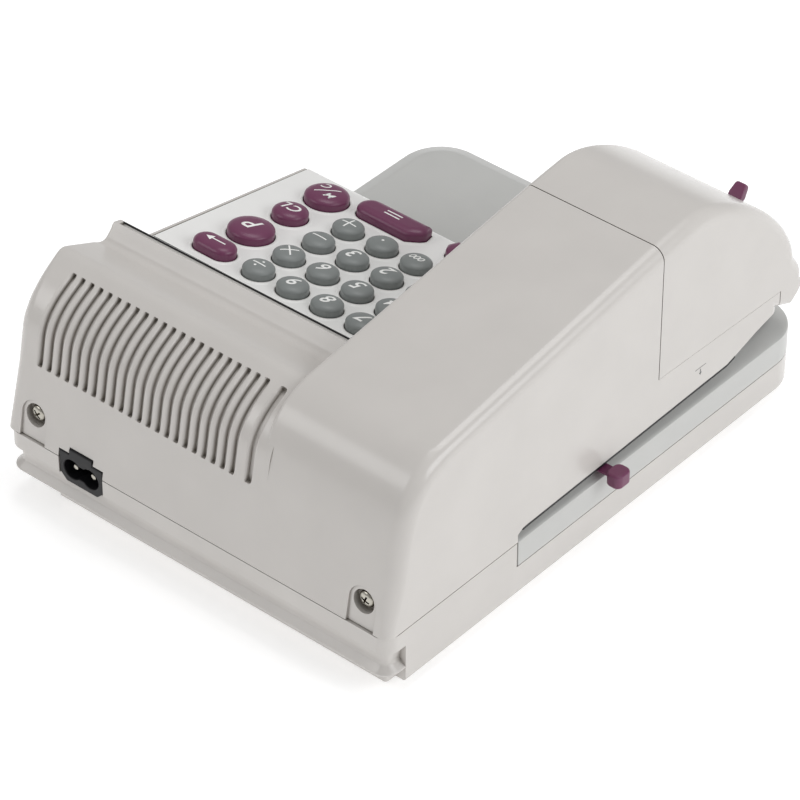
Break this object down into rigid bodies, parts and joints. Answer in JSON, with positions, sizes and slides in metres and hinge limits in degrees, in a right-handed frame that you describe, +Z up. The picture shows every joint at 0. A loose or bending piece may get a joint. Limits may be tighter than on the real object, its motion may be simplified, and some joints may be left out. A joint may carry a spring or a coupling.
{
  "type": "electronic cheque writer",
  "caption": "Desktop cheque writer: tall printer housing with a side slot over a grey cheque table, beside a tilted calculator keypad with grey and plum keys.",
  "frame": {"origin": "middle of the whole footprint on the desk, under the feet", "axes": "+X to the user's right, +Y to the back, +Z up"},
  "size_m": [0.19, 0.238, 0.113],
  "materials": {
    "body_plastic": "fine moulded texture, off-white",
    "panel_plastic": "fine moulded texture, near white",
    "grey_plastic": "fine moulded texture, light grey",
    "key_plastic": "satin, mid grey",
    "plum_plastic": "satin, plum",
    "window": "smoked, clear",
    "display": "dark display glass and its board",
    "key_rubber": "pale silicone",
    "circuit_board": "green board",
    "lamination": "dark sheet steel",
    "black_plastic": "black, satin",
    "nickel": "nickel plated",
    "foot_rubber": "grey rubber",
    "steel": "zinc plated sheet and rod",
    "dark_plastic": "dark grey",
    "gear_plastic": "natural acetal",
    "drum": "dark drum with raised type",
    "ink_foam": "ink-soaked felt",
    "roller_rubber": "black rubber"
  },
  "bodies": {
    "case": {"base_tray": "body_plastic", "cheque_table": "grey_plastic", "top_housing": "body_plastic", "keypad_cover": "panel_plastic", "display_window": "window", "display_module": "display", "key_mat": "key_rubber", "key_board": "circuit_board", "main_board": "circuit_board", "transformer": "lamination", "power_inlet": "black_plastic", "inlet_pins": "nickel", "rear_screws": "nickel", "tray_screws": "nickel", "feet": "foot_rubber", "frame_plate_left": "steel", "frame_plate_right": "steel", "frame_rods": "steel", "upper_guide": "dark_plastic", "lower_bracket": "steel", "guide_rail": "steel", "drive_motor": "lamination", "idler_pin": "steel"},
    "cover": {"print_cover": "body_plastic"},
    "latch": {"cover_latch": "plum_plastic"},
    "guide": {"guide_slider": "plum_plastic"},
    "drum": {"type_drum": "drum", "drum_gear": "gear_plastic"},
    "idler": {"idler_gear": "gear_plastic"},
    "feed": {"feed_roller": "roller_rubber", "feed_gear": "gear_plastic"},
    "rotor": {"motor_pinion": "gear_plastic"},
    "ink": {"ink_roller": "ink_foam"},
    "pressure": {"pressure_roller": "roller_rubber"},
    "pinch": {"pinch_roller": "roller_rubber"},
    "key_7": {"key_7": "key_plastic"},
    "key_8": {"key_8": "key_plastic"},
    "key_9": {"key_9": "key_plastic"},
    "key_divide": {"key_divide": "key_plastic"},
    "key_4": {"key_4": "key_plastic"},
    "key_5": {"key_5": "key_plastic"},
    "key_6": {"key_6": "key_plastic"},
    "key_times": {"key_times": "key_plastic"},
    "key_1": {"key_1": "key_plastic"},
    "key_2": {"key_2": "key_plastic"},
    "key_3": {"key_3": "key_plastic"},
    "key_minus": {"key_minus": "key_plastic"},
    "key_0": {"key_0": "key_plastic"},
    "key_000": {"key_000": "key_plastic"},
    "key_point": {"key_point": "key_plastic"},
    "key_plus": {"key_plus": "key_plastic"},
    "key_back": {"key_back": "plum_plastic"},
    "key_print": {"key_print": "plum_plastic"},
    "key_clear": {"key_clear": "plum_plastic"},
    "key_memory": {"key_memory": "plum_plastic"},
    "key_enter": {"key_enter": "plum_plastic"},
    "key_equals": {"key_equals": "plum_plastic"}
  },
  "joints": [
    {"name": "cover_lift", "type": "slide", "parent": "case", "child": "cover", "axis": [0, 0, 1], "range_m": [0, 0.045]},
    {"name": "latch_slide", "type": "slide", "parent": "cover", "child": "latch", "axis": [1, 0, 0], "range_m": [0, 0.008]},
    {"name": "guide_slide", "type": "slide", "parent": "case", "child": "guide", "axis": [0, 1, 0], "range_m": [-0.017, 0.036]},
    {"name": "drum_spin", "type": "hinge", "parent": "case", "child": "drum", "pos_m": [-0.04, -0.072, 0.0521], "axis": [1, 0, 0], "continuous": true},
    {"name": "idler_spin", "type": "hinge", "parent": "case", "child": "idler", "pos_m": [-0.04, -0.04665, 0.05788], "axis": [1, 0, 0], "continuous": true},
    {"name": "feed_spin", "type": "hinge", "parent": "case", "child": "feed", "pos_m": [-0.04, -0.038, 0.0421], "axis": [1, 0, 0], "continuous": true},
    {"name": "motor_spin", "type": "hinge", "parent": "case", "child": "rotor", "pos_m": [-0.04, -0.0344, 0.06817], "axis": [1, 0, 0], "continuous": true},
    {"name": "ink_spin", "type": "hinge", "parent": "case", "child": "ink", "pos_m": [-0.04, -0.06232, 0.07869], "axis": [1, 0, 0], "continuous": true},
    {"name": "pressure_spin", "type": "hinge", "parent": "case", "child": "pressure", "pos_m": [-0.04, -0.072, 0.0228], "axis": [1, 0, 0], "continuous": true},
    {"name": "pinch_spin", "type": "hinge", "parent": "case", "child": "pinch", "pos_m": [-0.04, -0.038, 0.0258], "axis": [1, 0, 0], "continuous": true},
    {"name": "press_7", "type": "slide", "parent": "case", "child": "key_7", "axis": [0, 0.1867, -0.9824], "range_m": [0, 0.002], "stiffness_N_per_m": 300, "springref_m": -0.001},
    {"name": "press_8", "type": "slide", "parent": "case", "child": "key_8", "axis": [0, 0.1867, -0.9824], "range_m": [0, 0.002], "stiffness_N_per_m": 300, "springref_m": -0.001},
    {"name": "press_9", "type": "slide", "parent": "case", "child": "key_9", "axis": [0, 0.1867, -0.9824], "range_m": [0, 0.002], "stiffness_N_per_m": 300, "springref_m": -0.001},
    {"name": "press_divide", "type": "slide", "parent": "case", "child": "key_divide", "axis": [0, 0.1867, -0.9824], "range_m": [0, 0.002], "stiffness_N_per_m": 300, "springref_m": -0.001},
    {"name": "press_4", "type": "slide", "parent": "case", "child": "key_4", "axis": [0, 0.1867, -0.9824], "range_m": [0, 0.002], "stiffness_N_per_m": 300, "springref_m": -0.001},
    {"name": "press_5", "type": "slide", "parent": "case", "child": "key_5", "axis": [0, 0.1867, -0.9824], "range_m": [0, 0.002], "stiffness_N_per_m": 300, "springref_m": -0.001},
    {"name": "press_6", "type": "slide", "parent": "case", "child": "key_6", "axis": [0, 0.1867, -0.9824], "range_m": [0, 0.002], "stiffness_N_per_m": 300, "springref_m": -0.001},
    {"name": "press_times", "type": "slide", "parent": "case", "child": "key_times", "axis": [0, 0.1867, -0.9824], "range_m": [0, 0.002], "stiffness_N_per_m": 300, "springref_m": -0.001},
    {"name": "press_1", "type": "slide", "parent": "case", "child": "key_1", "axis": [0, 0.1867, -0.9824], "range_m": [0, 0.002], "stiffness_N_per_m": 300, "springref_m": -0.001},
    {"name": "press_2", "type": "slide", "parent": "case", "child": "key_2", "axis": [0, 0.1867, -0.9824], "range_m": [0, 0.002], "stiffness_N_per_m": 300, "springref_m": -0.001},
    {"name": "press_3", "type": "slide", "parent": "case", "child": "key_3", "axis": [0, 0.1867, -0.9824], "range_m": [0, 0.002], "stiffness_N_per_m": 300, "springref_m": -0.001},
    {"name": "press_minus", "type": "slide", "parent": "case", "child": "key_minus", "axis": [0, 0.1867, -0.9824], "range_m": [0, 0.002], "stiffness_N_per_m": 300, "springref_m": -0.001},
    {"name": "press_0", "type": "slide", "parent": "case", "child": "key_0", "axis": [0, 0.1867, -0.9824], "range_m": [0, 0.002], "stiffness_N_per_m": 300, "springref_m": -0.001},
    {"name": "press_000", "type": "slide", "parent": "case", "child": "key_000", "axis": [0, 0.1867, -0.9824], "range_m": [0, 0.002], "stiffness_N_per_m": 300, "springref_m": -0.001},
    {"name": "press_point", "type": "slide", "parent": "case", "child": "key_point", "axis": [0, 0.1867, -0.9824], "range_m": [0, 0.002], "stiffness_N_per_m": 300, "springref_m": -0.001},
    {"name": "press_plus", "type": "slide", "parent": "case", "child": "key_plus", "axis": [0, 0.1867, -0.9824], "range_m": [0, 0.002], "stiffness_N_per_m": 300, "springref_m": -0.001},
    {"name": "press_back", "type": "slide", "parent": "case", "child": "key_back", "axis": [0, 0.1867, -0.9824], "range_m": [0, 0.002], "stiffness_N_per_m": 300, "springref_m": -0.001},
    {"name": "press_print", "type": "slide", "parent": "case", "child": "key_print", "axis": [0, 0.1867, -0.9824], "range_m": [0, 0.002], "stiffness_N_per_m": 300, "springref_m": -0.001},
    {"name": "press_clear", "type": "slide", "parent": "case", "child": "key_clear", "axis": [0, 0.1867, -0.9824], "range_m": [0, 0.002], "stiffness_N_per_m": 300, "springref_m": -0.001},
    {"name": "press_memory", "type": "slide", "parent": "case", "child": "key_memory", "axis": [0, 0.1867, -0.9824], "range_m": [0, 0.002], "stiffness_N_per_m": 300, "springref_m": -0.001},
    {"name": "press_enter", "type": "slide", "parent": "case", "child": "key_enter", "axis": [0, 0.1867, -0.9824], "range_m": [0, 0.002], "stiffness_N_per_m": 300, "springref_m": -0.001},
    {"name": "press_equals", "type": "slide", "parent": "case", "child": "key_equals", "axis": [0, 0.1867, -0.9824], "range_m": [0, 0.002], "stiffness_N_per_m": 300, "springref_m": -0.001}
  ],
  "couplings": [
    {"joint": "idler_spin", "follows": "drum_spin", "ratio": -1.6},
    {"joint": "feed_spin", "follows": "drum_spin", "ratio": 2},
    {"joint": "motor_spin", "follows": "drum_spin", "ratio": 2.6667},
    {"joint": "ink_spin", "follows": "drum_spin", "ratio": -2.5},
    {"joint": "pressure_spin", "follows": "drum_spin", "ratio": -2.2222},
    {"joint": "pinch_spin", "follows": "drum_spin", "ratio": -3.3333}
  ]
}
